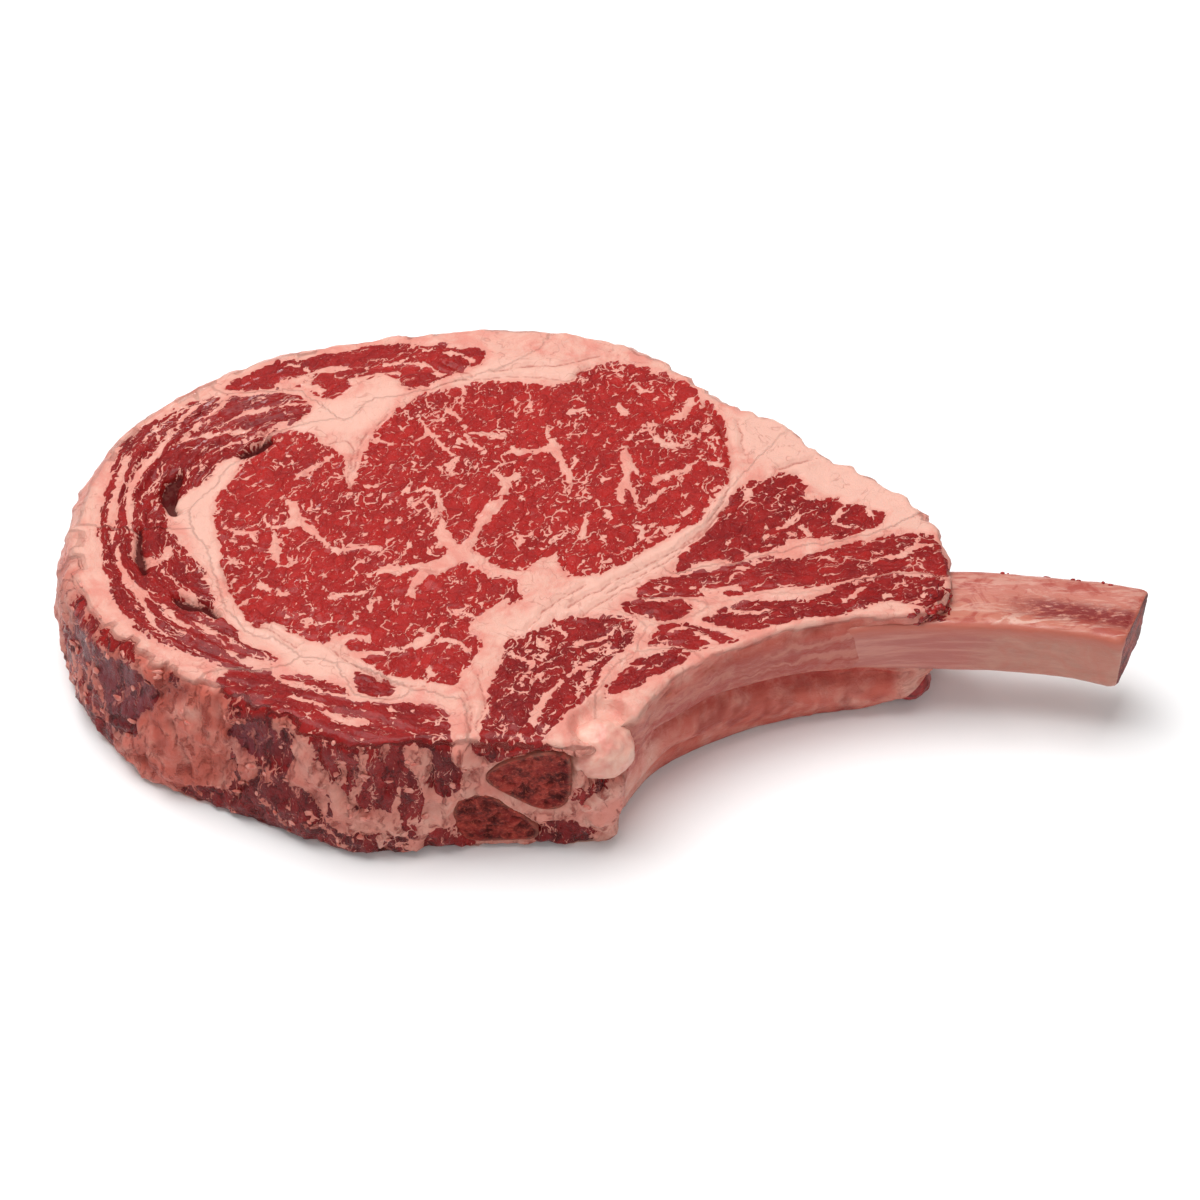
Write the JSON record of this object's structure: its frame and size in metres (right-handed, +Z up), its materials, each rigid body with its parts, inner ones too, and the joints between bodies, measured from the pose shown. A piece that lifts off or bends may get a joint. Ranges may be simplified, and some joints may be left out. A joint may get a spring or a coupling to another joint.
{
  "type": "raw bone-in rib steak",
  "caption": "Thick raw rib steak lying on its cut face, with a marbled eye, wrapped cap, fat seams and a short scraped rib standing out at one side.",
  "frame": {"origin": "middle of the footprint's box, on the surface that the steak lies on", "axes": "+X along the scraped rib from the meat to its sawn end, +Y from the chine's sawn front to the fat-covered back, +Z up out of the upper cut face"},
  "size_m": [0.2858, 0.1588, 0.0405],
  "materials": {
    "muscle_red": "moist raw beef muscle, soft sheen",
    "muscle_dark": "moist darker raw beef muscle, coarse grain",
    "fat": "raw beef fat, waxy and slightly moist",
    "scraped_bone": "scraped raw rib bone under thin membrane, satin",
    "spongy_bone": "sawn spongy bone with red marrow, rough and moist",
    "cartilage": "raw gristle and hard fat, waxy"
  },
  "bodies": {
    "root": {"eye_of_rib": "muscle_red", "rib_cap_back": "muscle_red", "rib_cap_side": "muscle_dark", "rib_cap_front": "muscle_red", "cap_island": "muscle_red", "side_muscle": "muscle_red", "lip_upper": "muscle_red", "lip_middle": "muscle_red", "lip_lower": "muscle_dark", "lip_inner": "muscle_red", "rib_strip_left": "muscle_red", "rib_strip_right": "muscle_red", "rib_end_lobe": "muscle_dark", "fat": "fat", "rib_bone": "scraped_bone", "chine_bone_upper": "spongy_bone", "chine_bone_lower": "spongy_bone", "cartilage_knob": "cartilage"}
  },
  "joints": []
}
